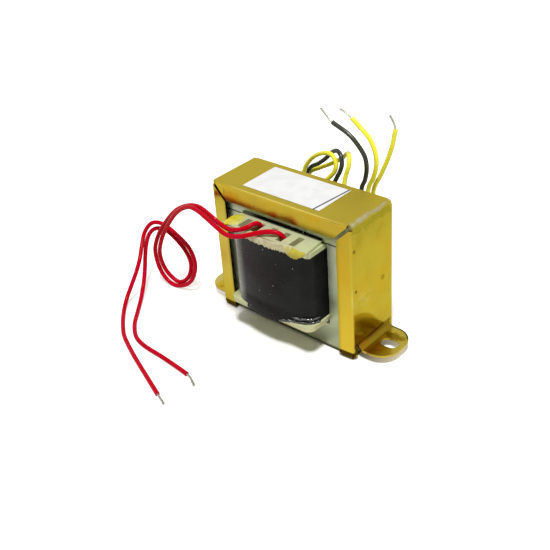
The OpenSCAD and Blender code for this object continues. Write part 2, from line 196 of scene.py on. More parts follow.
# Core
# Thin E and I stampings of silicon steel, stacked in groups that point up and
# down in turn and gripped by the frame. Bare rolled steel, satin, thinly oiled.
def fill(node, inputs):
    """Fills a node's inputs: a socket is linked, and any other value is set on the input."""
    for key, value in inputs.items():
        if isinstance(value, bpy.types.NodeSocket):
            node.id_data.links.new(value, node.inputs[key])
        else:
            node.inputs[key].default_value = value


def add(kind, inputs, **settings):
    """A new node with its settings and inputs, in the tree of the sockets among those inputs."""
    sockets = [value for value in inputs.values() if isinstance(value, bpy.types.NodeSocket)]
    node = sockets[0].id_data.nodes.new(kind)
    for key, value in settings.items():
        setattr(node, key, value)
    fill(node, inputs)
    return node


def start_material(name):
    """A new material, its Principled shader and its Object coordinates."""
    material = bpy.data.materials.new(name)
    material.use_nodes = True
    nodes = material.node_tree.nodes
    return material, nodes["Principled BSDF"], nodes.new("ShaderNodeTexCoord").outputs["Object"]


def sums(operation, *values, clamp=False):
    """The result of a sum with plain values."""
    inputs = dict(enumerate(values))
    return add("ShaderNodeMath", inputs, operation=operation, use_clamp=clamp).outputs[0]


def product(*values):
    """All the values multiplied."""
    result = values[0]
    for value in values[1:]:
        result = sums("MULTIPLY", result, value)
    return result


def mixed(share, one, other):
    """A colour between one and other. Each is a socket or three plain values."""
    ends = [c if isinstance(c, bpy.types.NodeSocket) else (*c, 1) for c in (one, other)]
    return add("ShaderNodeMix", {0: share, 6: ends[0], 7: ends[1]}, data_type="RGBA").outputs[2]


def tinted(colour, tint, *masks):
    """A colour that turns to a tint as far as the product of the masks says."""
    return mixed(product(*masks), colour, tint)


def ramped(value, start, end):
    """0 where the value is at start or beyond it, 1 at end, and a smooth rise between them."""
    ramp = {"Value": value, "From Min": start, "From Max": end}
    return add("ShaderNodeMapRange", ramp, interpolation_type="SMOOTHSTEP").outputs[0]


def split(place):
    """The X, Y and Z of a place."""
    return add("ShaderNodeSeparateXYZ", {"Vector": place}).outputs


def within(place, **ramps):
    """A mask: the product of ramps along x, y and z, or along abs_x and abs_y on both sides alike.

    Each ramp is 0 at its first place and 1 at its second, in millimetres.
    """
    axes = split(place)
    masks = []
    for name, pairs in ramps.items():
        value = axes[name[-1].upper()]
        if name.startswith("abs_"):
            value = sums("ABSOLUTE", value)
        masks += [ramped(value, start * MM, end * MM) for start, end in pairs]
    return product(*masks)


def near(value, middle, half):
    """1 where the value lies within half of the middle, and 0 elsewhere."""
    off = sums("ABSOLUTE", sums("SUBTRACT", value, middle))
    return ramped(off, half * 1.25, half * 0.75)


def grained(place, scale, detail):
    """Cloudy noise about 0.5."""
    return add("ShaderNodeTexNoise", {"Vector": place, "Scale": scale, "Detail": detail}).outputs[0]


def cloudy(place, size, low=0.4, high=0.6, detail=4.0):
    """A soft mask from 0 to 1 with patches of about that size, in metres."""
    return ramped(grained(place, 1 / size, detail), low, high)


def patchy(place, size, one, other, low=0.4, high=0.6, detail=4.0):
    """Two colours in soft patches of about that size, in metres."""
    return mixed(cloudy(place, size, low, high, detail), one, other)


def start_group(name, inputs, outputs):
    """A new shader node group with a Place, the named values and the named outputs."""
    group = bpy.data.node_groups.new(name, "ShaderNodeTree")
    group.interface.new_socket("Place", in_out="INPUT", socket_type="NodeSocketVector")
    for label, value in inputs.items():
        socket = group.interface.new_socket(label, in_out="INPUT", socket_type="NodeSocketFloat")
        socket.default_value = value
    for label in outputs:
        group.interface.new_socket(label, in_out="OUTPUT", socket_type="NodeSocketFloat")
    return group, group.nodes.new("NodeGroupInput").outputs, group.nodes.new("NodeGroupOutput")


def placed(group, place, **values):
    """The outputs of a node group placed in a material, with its own values."""
    inputs = {label.capitalize(): value for label, value in values.items()}
    return add("ShaderNodeGroup", {"Place": place, **inputs}, node_tree=group).outputs


def handled_group():
    """Finger marks and fine scuffs: a roughness, and the height of a shallow unevenness."""
    scuff_scale, scuff_share = 2200.0, 0.12
    inputs = {"Roughness": 0.4, "Spread": 0.15, "Size": 0.01}
    group, taken, given = start_group("handled", inputs, ["Roughness", "Height"])
    scale = sums("DIVIDE", 1.0, taken["Size"])
    off = sums("SUBTRACT", grained(taken["Place"], scale, 6.0), 0.5)
    rough = sums("MULTIPLY_ADD", product(off, taken["Spread"]), 2.0, taken["Roughness"])
    height = sums("MULTIPLY_ADD", grained(taken["Place"], scuff_scale, 2.0), scuff_share, off)
    fill(given, {"Roughness": rough, "Height": height})
    return group


handled = handled_group()


def bumped(shader, height, distance):
    """Gives a shader the normal of a bump of that height, times a distance in metres."""
    bump = add("ShaderNodeBump", {"Height": height, "Distance": distance})
    fill(shader, {"Normal": bump.outputs[0]})


def core_steel():
    """Rolled steel with the stampings' edges as fine lines across the stack, the joint under the I, a dark bottom edge
    that is partly painted shade, and painted shade under the frame's top lip and low down under the flange.
    """
    sheet_pitch = 0.5 * MM
    joint, joint_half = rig.box("i_laminations_top")[0].z, 0.22 * MM
    oiled, bare = (0.40, 0.44, 0.30), (0.52, 0.56, 0.40)
    material, shader, place = start_material("core_steel")
    along_roll = add("ShaderNodeMapping", {"Vector": place, "Scale": (0.18, 1, 1)}).outputs[0]
    axes = split(place)
    wave = sums("COSINE", product(axes["Y"], 2 * math.pi / sheet_pitch))
    seam = ramped(wave, -0.75, -1.0)
    colour = patchy(along_roll, 6 * MM, oiled, bare, 0.3, 0.7)
    colour = tinted(colour, (0.05, 0.052, 0.045), seam)
    colour = tinted(colour, (0.02, 0.02, 0.012), near(axes["Z"], joint, joint_half))
    # Darker along the bottom edge: the stack's own edge, and painted shade where it meets the floor.
    colour = tinted(colour, (0.06, 0.05, 0.012), within(place, z=[(1.7, 1.2)]))
    # Painted shade on the core's face under the frame's top lip.
    colour = tinted(colour, (0.15, 0.155, 0.06), within(place, z=[(41.5, 45)]), 0.85)
    # Painted shade low on the core, under the bobbin's lower flange.
    colour = tinted(colour, (0.13, 0.14, 0.07), within(place, z=[(15, 7)]), 0.45)
    marks = placed(handled, along_roll, roughness=0.38, spread=0.16, size=4 * MM)
    fill(shader, {"Base Color": colour, "Roughness": marks["Roughness"], "Metallic": 0.9})
    bumped(shader, sums("SUBTRACT", marks["Height"], seam), 0.03 * MM)
    return material


def dress(node, material):
    """Gives a CAD node's object its material."""
    slots = frame["nodes"][node].data.materials
    slots.clear()
    slots.append(material)


steel = core_steel()
for node in ("e_laminations_upright", "i_laminations_top", "e_laminations_inverted", "i_laminations_bottom"):
    dress(node, steel)


# Bobbin
# One moulding of ivory nylon: a square tube on the centre leg, two flanges, and
# a raised ledge with five lead slots in front and behind. The edges are rounded.
def linked(name, data):
    """A new object in the scene."""
    piece = bpy.data.objects.new(name, data)
    scene.collection.objects.link(piece)
    return piece


def evaluated_piece(maker, name):
    """The finished mesh of an object with modifiers, as a plain piece, in place of that object."""
    bpy.context.view_layer.update()
    graph = bpy.context.evaluated_depsgraph_get()
    mesh = bpy.data.meshes.new_from_object(maker.evaluated_get(graph))
    bpy.data.objects.remove(maker)
    mesh.name = name
    return linked(name, mesh)


def eased(node, name, width, materials, edge_slot=-1, shaped=None):
    """A copy of a CAD solid with its sharp edges eased, in place of that solid."""
    mesh = frame["nodes"][node].data.copy()
    form = bmesh.new()
    form.from_mesh(mesh)
    bmesh.ops.remove_doubles(form, verts=form.verts, dist=0.001 * MM)
    bmesh.ops.dissolve_limit(form, angle_limit=math.radians(0.4), verts=form.verts, edges=form.edges)
    if shaped:
        shaped(form)
    form.to_mesh(mesh)
    form.free()
    stored = mesh.attributes.get("custom_normal")
    if stored:
        mesh.attributes.remove(stored)
    mesh.materials.clear()
    for material in materials:
        mesh.materials.append(material)
    maker = linked(name + "_maker", mesh)
    bevel = maker.modifiers.new("eased", "BEVEL")
    bevel.width = width
    bevel.segments = 2
    bevel.limit_method = "ANGLE"
    bevel.angle_limit = math.radians(40)
    bevel.material = edge_slot
    rounded = evaluated_piece(maker, name + "_rounded")
    rounded.data.shade_smooth()
    rounded.data.set_sharp_from_angle(angle=math.radians(32))
    weigh = rounded.modifiers.new("flat_faces", "WEIGHTED_NORMAL")
    weigh.keep_sharp = True
    piece = evaluated_piece(rounded, name)
    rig.ride(piece, "root")
    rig.replaces(piece, node)
    return piece


def handled_finish(shader, place, colour, bump=0.0, **values):
    """Gives a shader its colour, with finger marks in its roughness and, in metres, in its bump."""
    marks = placed(handled, place, **values)
    fill(shader, {"Base Color": colour, "Roughness": marks["Roughness"]})
    if bump:
        bumped(shader, marks["Height"], bump)


def ivory_plastic():
    """Nylon that has yellowed a little, with a faint mottle, and with glue and grime on its lower flange."""
    fresh, aged = (0.50, 0.54, 0.30), (0.46, 0.455, 0.31)
    material, shader, place = start_material("ivory_plastic")
    low_down = within(place, z=[(13, 11)])
    to_the_right = within(place, x=[(0, 7)])
    glued = cloudy(place, 2 * MM, 0.45, 0.6, 5.0)
    soiled = cloudy(place, 1.2 * MM, 0.6, 0.66, 5.0)
    colour = patchy(place, 7 * MM, fresh, aged, 0.35, 0.7)
    colour = tinted(colour, (0.62, 0.58, 0.335), low_down, to_the_right, 0.8)
    colour = tinted(colour, (0.6, 0.52, 0.3), low_down, glued, 0.7)
    colour = tinted(colour, (0.2, 0.17, 0.07), low_down, soiled, 0.6)
    handled_finish(shader, place, colour, 0.06 * MM, roughness=0.42, spread=0.12, size=3 * MM)
    fill(shader, {
        "Subsurface Weight": 0.25,
        "Subsurface Radius": (0.9 * MM, 0.8 * MM, 0.5 * MM),
        "Subsurface Scale": 1.0,
    })
    return material


bobbin = eased("bobbin", "moulded_bobbin", 0.22 * MM, [ivory_plastic()])
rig.slot(bobbin, "ivory_plastic")


# Windings
# Two layers of enamelled copper with a film between them, wound on the tube.
# They are closed in by the tape and seen only down the lead slots.
def copper_wire():
    """Turns of enamelled wire as ribs that run round the coil."""
    turn_pitch = 0.4 * MM
    material, shader, place = start_material("copper_wire")
    turns = sums("SINE", product(split(place)["Z"], 2 * math.pi / turn_pitch))
    colour = patchy(place, 4 * MM, (0.45, 0.17, 0.06), (0.32, 0.1, 0.035))
    fill(shader, {"Base Color": colour, "Metallic": 0.7, "Roughness": 0.35})
    bumped(shader, turns, 0.1 * MM)
    return material


def polyester_film():
    """Amber film, slightly creased."""
    material, shader, place = start_material("polyester_film")
    colour = patchy(place, 5 * MM, (0.7, 0.55, 0.2), (0.6, 0.42, 0.12))
    handled_finish(shader, place, colour, 0.1 * MM, roughness=0.25, spread=0.1, size=2 * MM)
    return material


copper = copper_wire()
dress("primary_winding", copper)
dress("interwinding_insulation", polyester_film())
dress("secondary_winding", copper)

# Outer tape
# Black adhesive tape wound over the coil, smooth and bowed on the open sides.
# Its lower edge hangs over the bottom flange in front and is crumpled at the right.
tape_low, tape_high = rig.box("outer_tape")


def wrap_outline(count):
    """Points round the tape, anticlockwise from the middle of the right side, evenly spaced."""
    half_x, half_y = tape_high.x, tape_high.y
    crown_r, corner_r = 45 * MM, 6 * MM
    corner_steps, crown_steps = 12, 30
    crown_y = half_y - crown_r
    corner_x = half_x - corner_r
    corner_y = crown_y + math.sqrt((crown_r - corner_r) ** 2 - corner_x ** 2)
    turn = math.atan2(corner_y - crown_y, corner_x)
    quarter = [Vector((half_x, 0))]
    for k in range(corner_steps + 1):
        angle = turn * k / corner_steps
        quarter.append(Vector((corner_x + corner_r * math.cos(angle), corner_y + corner_r * math.sin(angle))))
    for k in range(1, crown_steps + 1):
        angle = turn + (math.pi / 2 - turn) * k / crown_steps
        quarter.append(Vector((crown_r * math.cos(angle), crown_y + crown_r * math.sin(angle))))
    half = quarter + [Vector((-p.x, p.y)) for p in reversed(quarter[:-1])]
    loop = half + [-p for p in half[1:]]
    lengths = [0.0]
    for one, other in zip(loop, loop[1:]):
        lengths.append(lengths[-1] + (other - one).length)
    points, k = [], 0
    for n in range(count):
        target = lengths[-1] * n / count
        while lengths[k + 1] < target:
            k += 1
        points.append(loop[k].lerp(loop[k + 1], (target - lengths[k]) / (lengths[k + 1] - lengths[k])))
    return points


def smooth_step(value, start, end):
    """0 before start, 1 after end, and a smooth rise between them."""
    t = min(max((value - start) / (end - start), 0.0), 1.0)
    return t * t * (3 - 2 * t)


def wavering(*place):
    """Smooth noise at a place, from -1 to 1."""
    return noise.noise(Vector(place))


def mesh_of(form, name):
    """Ends a form under way as a mesh."""
    mesh = bpy.data.meshes.new(name)
    form.to_mesh(mesh)
    form.free()
    return mesh


def tape_shape():
    """A closed band of tape, with its outer wall, inner wall and two rims."""
    around, rows = 480, 60
    wall, hang, bulge, frill = 0.45 * MM, 1.55 * MM, 0.62 * MM, 0.7 * MM
    edge_band, creased_height = 4.5 * MM, 26
    height = tape_high.z - tape_low.z
    outline = wrap_outline(around)
    form = bmesh.new()
    outer, inner = [], []
    for row in range(rows + 1):
        # Rows lie closer together near the lower edge
        rise = (row / rows) ** 1.6
        near_edge = 1 - smooth_step(rise * height, 0, edge_band)
        outer_row, inner_row = [], []
        for k, p in enumerate(outline):
            ahead, behind = outline[(k + 1) % around], outline[k - 1]
            outward = Vector((ahead.y - behind.y, behind.x - ahead.x)).normalized()
            x, y, up = p.x / MM, p.y / MM, rise * creased_height
            in_front = smooth_step(-y, 13, 16.5)
            over = in_front * smooth_step(x, -17, -11) * (1 - smooth_step(x, 3, 11))
            crumpled = in_front * smooth_step(x, 1, 6) * near_edge
            pleats = wavering(x * 0.55, up * 1.5, 3.1)
            creases = 1 - abs(wavering(x * 0.8 + up * 0.9, up * 1.2, 7.7)) * 2.4
            push = 0.08 * MM * wavering(x * 0.07, y * 0.07, up * 0.09)
            push += over * near_edge * bulge
            push += crumpled * (0.16 * pleats + 0.2 * max(creases, 0)) * MM
            z = tape_low.z + rise * height - over * near_edge ** 2 * hang
            z += crumpled * (1 - rise) * 0.5 * MM * wavering(x * 0.5, 1.3, 0)
            z += rise ** 9 * frill * smooth_step(abs(y), 17.4, 18.6)
            skin, under = p + outward * push, p + outward * (push - wall)
            outer_row.append(form.verts.new((skin.x, skin.y, z)))
            inner_row.append(form.verts.new((under.x, under.y, z)))
        outer.append(outer_row)
        inner.append(inner_row)
    for k in range(around):
        n = (k + 1) % around
        for low, high in zip(range(rows), range(1, rows + 1)):
            form.faces.new((outer[low][k], outer[low][n], outer[high][n], outer[high][k]))
            form.faces.new((inner[low][n], inner[low][k], inner[high][k], inner[high][n]))
        form.faces.new((outer[rows][k], outer[rows][n], inner[rows][n], inner[rows][k]))
        form.faces.new((outer[0][n], outer[0][k], inner[0][k], inner[0][n]))
    mesh = mesh_of(form, "tape_wrap")
    mesh.shade_smooth()
    mesh.set_sharp_from_angle(angle=math.radians(60))
    return mesh


def dust_group():
    """Sparse light specks of dust, as a mask."""
    speck_edge, speck_core = 0.16, 0.08
    group, taken, given = start_group("dust", {"Size": 0.001, "Share": 0.1}, ["Mask"])
    scale = sums("DIVIDE", 1.0, taken["Size"])
    cells = add("ShaderNodeTexVoronoi", {"Vector": taken["Place"], "Scale": scale}).outputs
    lot = add("ShaderNodeSeparateColor", {"Color": cells["Color"]}).outputs["Red"]
    speck = add("ShaderNodeMapRange", {
        "Value": cells["Distance"], "From Min": speck_edge, "From Max": speck_core,
    }).outputs[0]
    fill(given, {"Mask": product(sums("LESS_THAN", lot, taken["Share"]), speck)})
    return group


dust = dust_group()


def black_tape(name, gloss, roughness):
    """Plasticised film, slightly rippled, with specks of dust and a painted highlight where it bends at the left."""
    material, shader, place = start_material(name)
    specks = placed(dust, place, size=1.6 * MM, share=0.1)["Mask"]
    # Painted highlight: a pale band down the tape's left front, where it bends.
    painted_highlight = within(place, x=[(-9.5, -15.2), (-17.4, -16.8)])
    colour = patchy(place, 9 * MM, (0.003, 0.0035, 0.0033), (0.006, 0.0065, 0.006))
    colour = tinted(colour, (0.34, 0.36, 0.33), painted_highlight)
    colour = tinted(colour, (0.3, 0.3, 0.28), specks)
    marks = placed(handled, place, roughness=roughness, spread=0.1, size=5 * MM)
    dull_sides = product(within(place, abs_x=[(16.4, 17.2)]), 0.5)
    rough = sums("ADD", marks["Roughness"], dull_sides)
    fill(shader, {"Base Color": colour, "Specular IOR Level": gloss, "Roughness": rough})
    bumped(shader, marks["Height"], 0.05 * MM)
    return material


def carried(name, mesh, material, kind):
    """A new piece on the body, with its material and the name of its material's slot."""
    mesh.materials.append(material)
    piece = linked(name, mesh)
    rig.ride(piece, "root")
    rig.slot(piece, kind)
    return piece


def tube_mesh(name, line, radii):
    """A closed tube along a line of points, with a radius at each."""
    sides = 12
    form = bmesh.new()
    rings = []
    for k, point in enumerate(line):
        ahead = (line[min(k + 1, len(line) - 1)] - line[max(k - 1, 0)]).normalized()
        side = ahead.cross(Vector((0, 0, 1))).normalized()
        up = side.cross(ahead)
        rings.append([form.verts.new(point + radii[k] * (
            math.cos(2 * math.pi * j / sides) * side + math.sin(2 * math.pi * j / sides) * up
        )) for j in range(sides)])
    for one, other in zip(rings, rings[1:]):
        for j in range(sides):
            n = (j + 1) % sides
            form.faces.new((one[j], other[j], other[n], one[n]))
    form.faces.new(rings[0])
    form.faces.new(rings[-1][::-1])
    bmesh.ops.recalc_face_normals(form, faces=form.faces)
    mesh = mesh_of(form, name)
    mesh.shade_smooth()
    return mesh


def rolled_tape(first_x, last_x, lift, girth, number):
    """A roll of crumpled tape along the tape's lower edge in front, wandering a little up, down and out."""
    seed = 4.3 + 3 * number
    line, radii = [], []
    for p in wrap_outline(960):
        x = p.x / MM
        if p.y < -10 * MM and first_x < x < last_x:
            wander = wavering(x * 0.6, seed, 0) + 0.3 * wavering(x * 1.9, seed, 2)
            drop = 1.5 * (1 - smooth_step(x, 3, 11))
            out = 1 + (0.35 + 0.2 * wander) * MM / p.length
            line.append(Vector((p.x * out, p.y * out, tape_low.z + (lift + 0.45 * wander - drop) * MM)))
    for k, point in enumerate(line):
        taper = smooth_step(k, 0, 12) * smooth_step(len(line) - 1 - k, 0, 8)
        pinch = 0.75 + 0.7 * wavering(point.x / MM * 1.4, point.z / MM, number)
        radii.append((0.08 + girth * taper * pinch) * MM)
    return tube_mesh("tape_roll", line, radii)


tape = carried("tape_wrap", tape_shape(), black_tape("black_tape", 0.15, 0.27), "black_tape")
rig.replaces(tape, "outer_tape")

creased_black = black_tape("creased_tape", 1.0, 0.1)
for number, roll in enumerate(((3.5, 17.3, 0.35, 0.55), (9.5, 17.32, 1.7, 0.45))):
    carried("tape_roll_%d" % (number + 1), rolled_tape(*roll, number), creased_black, "black_tape")


# Strips and glue at the ledges
# A black strip stands between each ledge and the core as painted shade
# in the gap there, with a cut wire end beside the front one. Torn margin
# paper, held by yellow glue, hangs under the front ledge's edge.
ledge_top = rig.box("bobbin")[1].z / MM
ledge_edge = -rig.box("bobbin")[0].y / MM


def strip_mesh(name, columns, rows, place):
    """A closed sheet: place(u, v) gives the front and back points, for u along it and v up it."""
    form = bmesh.new()
    sheets = [[], []]
    for i in range(columns + 1):
        pairs = [place(i / columns, j / rows) for j in range(rows + 1)]
        for side in (0, 1):
            sheets[side].append([form.verts.new(Vector(pair[side]) * MM) for pair in pairs])
    front, back = sheets
    for i in range(columns):
        for j in range(rows):
            form.faces.new((front[i][j], front[i + 1][j], front[i + 1][j + 1], front[i][j + 1]))
            form.faces.new((back[i][j], back[i][j + 1], back[i + 1][j + 1], back[i + 1][j]))
        for j in (0, rows):
            form.faces.new((front[i][j], back[i][j], back[i + 1][j], front[i + 1][j]))
    for i in (0, columns):
        for j in range(rows):
            form.faces.new((front[i][j], front[i][j + 1], back[i][j + 1], back[i][j]))
    bmesh.ops.recalc_face_normals(form, faces=form.faces)
    mesh = mesh_of(form, name)
    mesh.shade_smooth()
    mesh.set_sharp_from_angle(angle=math.radians(50))
    return mesh


def shade_strip(facing):
    """Places of the black strip of painted shade on the tube's rim, higher in its middle. Facing is -1 in front, 1
    behind.
    """
    left, length, foot = -16.9, 33.6, 40.72
    near_face, far_face = 10.42, 10.12

    def place(u, v):
        x = left + length * u
        top = ledge_top + 0.45 + 0.3 * (1 - (x / 17) ** 2) + 0.12 * wavering(x * 0.4, facing, 0)
        z = foot + (top - foot) * v
        return (x, facing * near_face, z), (x, facing * far_face, z)
    return place


def torn_margin(u, v):
    """Places of the torn paper and glue on the front ledge's edge."""
    left, length, low_edge, high_edge = -8.6, 26.2, 39.1, 41.66
    x = left + length * u
    ends = smooth_step(u, 0, 0.08) * smooth_step(1 - u, 0, 0.03)
    lumps = wavering(x * 0.45, 0.3, 2.2)
    frayed = wavering(x * 1.5, 3.7, 0) + 0.6 * wavering(x * 4.1, 1.9, 0)
    glued = smooth_step(x, 7, 11)
    hanging = math.exp(-((x - 13.2) / 2.2) ** 2)
    low = low_edge - 0.5 * lumps + 0.6 * frayed * (1 - 0.3 * glued) - 0.6 * hanging
    low += 0.5 * smooth_step(x, 14, 16.5) + 1.1 * smooth_step(x, 16, 17.6)
    high = high_edge + 0.12 * lumps + glued * (0.3 + 0.25 * lumps)
    z = low + (max(high, low + 0.3) - low) * v
    face = max(ledge_edge, 19.98 - x * x / 90) + 0.02
    swell = math.sin(math.pi * min(max(v * 0.9 + 0.1, 0), 1)) * (0.12 + glued * (0.38 + 0.3 * lumps))
    out = face + ends * (0.1 + swell)
    return (x, -out, z), (x, -face + 0.15, z)


def margin_paper():
    """Torn cream paper that turns to yellow glue towards its right end."""
    material, shader, place = start_material("margin_paper")
    cream = patchy(place, 1.5 * MM, (0.61, 0.58, 0.38), (0.51, 0.43, 0.24))
    yellow = patchy(place, 2.5 * MM, (0.44, 0.35, 0.012), (0.53, 0.45, 0.05), 0.35, 0.65)
    spread = product(sums("SUBTRACT", grained(place, 900.0, 4.0), 0.5), 12 * MM)
    glued = ramped(sums("ADD", split(place)["X"], spread), 8.5 * MM, 12.5 * MM)
    colour = mixed(glued, cream, yellow)
    fill(shader, {"Base Color": colour, "Roughness": 0.45, "Specular IOR Level": 0.3})
    return material


def glue_dab(u, v):
    """Places of the flat dab of glue on the front ledge's left end."""
    middle_x, middle_y, half_x, half_y, ledge_end = -15.9, -16.0, 3.5, 3.9, -17.2
    a, b = 2 * u - 1, 2 * v - 1
    x = middle_x + half_x * a * math.sqrt(1 - b * b / 2)
    y = middle_y + half_y * b * math.sqrt(1 - a * a / 2)
    lumps = wavering(x * 0.6, y * 0.5, 5)
    rim = (1 - a * a) * (1 - b * b)
    x, y = x + 0.9 * wavering(y * 0.6, 1.7, b), y + 0.8 * wavering(x * 0.8, 4.1, a)
    height = 0.05 + (0.5 + 0.35 * lumps) * rim ** 0.5
    ground = ledge_top - max(ledge_end - x, 0)
    return (x, y, ground + height), (x, y, ground - 0.1)


def glue():
    """Hardened yellow glue, glossy and cloudy, thinner and paler towards its right."""
    material, shader, place = start_material("glue")
    colour = patchy(place, 3 * MM, (0.54, 0.45, 0.006), (0.57, 0.51, 0.06), 0.3, 0.7)
    colour = tinted(colour, (0.52, 0.54, 0.2), within(place, x=[(-15.5, -12.8)]), 0.7)
    handled_finish(shader, place, colour, roughness=0.25, spread=0.1, size=2 * MM)
    return material


# A dull black for the strips of painted shade between the ledges and the core.
shade_black = black_tape("black_strip", 0.04, 0.6)
for name, facing in (("front_strip", -1), ("back_strip", 1)):
    carried(name, strip_mesh(name, 60, 4, shade_strip(facing)), shade_black, "black_tape")
carried("torn_margin", strip_mesh("torn_margin", 260, 8, torn_margin), margin_paper(), "film")
carried("glue_dab", strip_mesh("glue_dab", 24, 24, glue_dab), glue(), "film")
wire_end_line = [Vector(p) * MM for p in ((9.3, -10.6, 41), (10.2, -10.6, 44.3))]
wire_end_r = 0.2 * MM
carried("wire_end", tube_mesh("wire_end", wire_end_line, [wire_end_r] * 2), steel, "tinned_copper")


# Frame
# One piece of zinc-plated steel sheet with a yellow passivated finish, folded
# over the core, mitred at the corners and crimped under it. The feet are slotted.
def vector_sums(operation, one, other=(0, 0, 0)):
    """The result of a sum with two vectors: a vector, a length or a distance."""
    node = add("ShaderNodeVectorMath", {0: one, 1: other}, operation=operation)
    return node.outputs["Value" if operation in ("LENGTH", "DISTANCE") else "Vector"]


def stain(place, centre, size, ragged=0.5):
    """A mask about a point in millimetres: 1 inside an oval of that half size, and 0 outside it."""
    scale = tuple(1 / (s * MM) for s in size)
    shift = tuple(-c / s for c, s in zip(centre, size))
    oval = add("ShaderNodeMapping", {"Vector": place, "Scale": scale, "Location": shift}).outputs[0]
    frayed = product(sums("SUBTRACT", grained(place, 500.0, 5.0), 0.5), ragged * 4)
    return ramped(sums("ADD", vector_sums("LENGTH", oval), frayed), 1.15, 0.55)


# Ramps onto the top, the front lips, the right wall and the feet, in millimetres
onto_top, onto_lips, onto_right_wall, onto_feet = (50.4, 50.9), (-10.9, -11.3), (29.2, 29.45), (7, 5.6)


def plated_ground(place):
    """The passivate: gold to olive, with an orange bloom below the top and a burnt patch on the top lip."""
    gold, olive, orange = (0.50, 0.38, 0.036), (0.435, 0.335, 0.045), (0.56, 0.335, 0.016)
    on_top = within(place, z=[onto_top])
    top_lip = within(place, y=[onto_lips], z=[(43, 46)])
    colour = patchy(place, 22 * MM, gold, olive, 0.38, 0.62, 2.0)
    colour = tinted(colour, olive, on_top)
    below_top = sums("SUBTRACT", 1.0, on_top)
    bloom = product(cloudy(place, 8 * MM, 0.48, 0.7, 5.0), 0.45, below_top)
    colour = tinted(colour, orange, sums("ADD", bloom, product(top_lip, 0.35)))
    brown_patch = stain(place, (-21, -11.6, 47.2), (5, 2, 2.2))
    return tinted(colour, (0.5, 0.22, 0.006), brown_patch, 0.6)


def folds_and_walls(place, colour):
    """Painted highlights along the folds, slanting scratches and dark spots on the right wall, and specks on both
    walls.
    """
    # Painted highlight: a bright line along the top's front fold.
    fold_highlight = stain(place, (0, -11.25, 50.75), (27, 0.3, 0.3), 0.12)
    colour = tinted(colour, (0.8, 0.64, 0.15), fold_highlight, 0.7)
    # Painted highlight: a pale line down the front fold of the right wall.
    fold_highlight = stain(place, (29.25, -11.25, 24), (0.3, 0.3, 7), 0.45)
    colour = tinted(colour, (0.8, 0.7, 0.36), fold_highlight, 0.32)
    slant = {"Vector": place, "Rotation": (0.6, 0, 0), "Scale": (1, 0.12, 1.6)}
    slanted = add("ShaderNodeMapping", slant).outputs[0]
    scratches = cloudy(slanted, 0.5 * MM, 0.56, 0.64, 2.0)
    scratched = stain(place, (29.5, -4.5, 23), (3, 5, 4.5))
    colour = tinted(colour, (0.62, 0.55, 0.26), scratches, scratched, 0.6)
    spots = (((29.5, -10.1, 41.7), 0.8, 1.0), ((29.5, 5, 24.7), 1.2, 0.55), ((29.5, -9.6, 26.5), 0.65, 1.0))
    for centre, half, depth in spots:
        spot = stain(place, centre, (half, half, half), 0.3)
        colour = tinted(colour, (0.16, 0.09, 0.01), spot, depth)
    specks = placed(dust, place, size=4.4 * MM, share=0.1)["Mask"]
    return tinted(colour, (0.22, 0.13, 0.015), specks, within(place, abs_x=[(29.2, 29.4)]))


def stained_foot(place, colour, rim):
    """Painted shade in the right foot's fold, its crease, the fold's front end and its back edge, darker patches on
    the foot, a painted reflection of the foot up the wall, and both feet's dull rims.
    """
    # Painted shade in the foot's fold, next to the wall.
    fold_shade = within(place, x=[(29.45, 29.55), (32.4, 31.4)], z=[onto_feet])
    colour = tinted(colour, (0.2, 0.12, 0.003), fold_shade, 0.8)
    # Painted shade: a dark line in the crease where the wall meets the foot.
    crease_shade = within(place, x=[(29.3, 29.4)], y=[(11, 3)], z=[(6.9, 5.8), (4.1, 5.4)])
    colour = tinted(colour, (0.11, 0.045, 0.002), crease_shade, 0.85)
    # Painted shade: an orange-brown patch at the front of the foot's fold.
    brown_patch = stain(place, (31, -7, 5), (2.4, 3.4, 2.6))
    colour = tinted(colour, (0.36, 0.14, 0.005), brown_patch, 0.45)
    colour = tinted(colour, (0.62, 0.44, 0.03), rim)
    # Darker brown in cloudy patches on the foot's flat, in front of the slot.
    darker_patches = within(place, x=[(31.8, 33), (38.5, 34.5)], y=[(6, -4)])
    colour = tinted(colour, (0.28, 0.125, 0.005), darker_patches, cloudy(place, 4 * MM, 0.2, 0.65))
    behind_slot = stain(place, (35, 3.7, 3.5), (4.2, 2, 3), 0.3)
    colour = tinted(colour, (0.2, 0.12, 0.007), behind_slot)
    # Painted shade along the foot's back edge.
    from_corner = vector_sums("SUBTRACT", place, (33.9 * MM, 1.4 * MM, 3.7 * MM))
    reach = vector_sums("LENGTH", vector_sums("MAXIMUM", from_corner))
    dark_edge = ramped(reach, 6.3 * MM, 6.5 * MM)
    at_the_back = within(place, x=[(31, 32)], y=[(4, 5.5)], z=[onto_feet])
    colour = tinted(colour, (0.05, 0.04, 0.008), dark_edge, at_the_back)
    # Painted reflection of the foot: a brown arc on the wall above it.
    reach = vector_sums("DISTANCE", place, (29.5 * MM, -14 * MM, 0))
    foot_reflection = within(place, x=[(29.3, 29.45)], z=[(6.2, 7.2)])
    return tinted(colour, (0.27, 0.14, 0.0), ramped(reach, 18.9 * MM, 17.9 * MM), foot_reflection, 0.75)


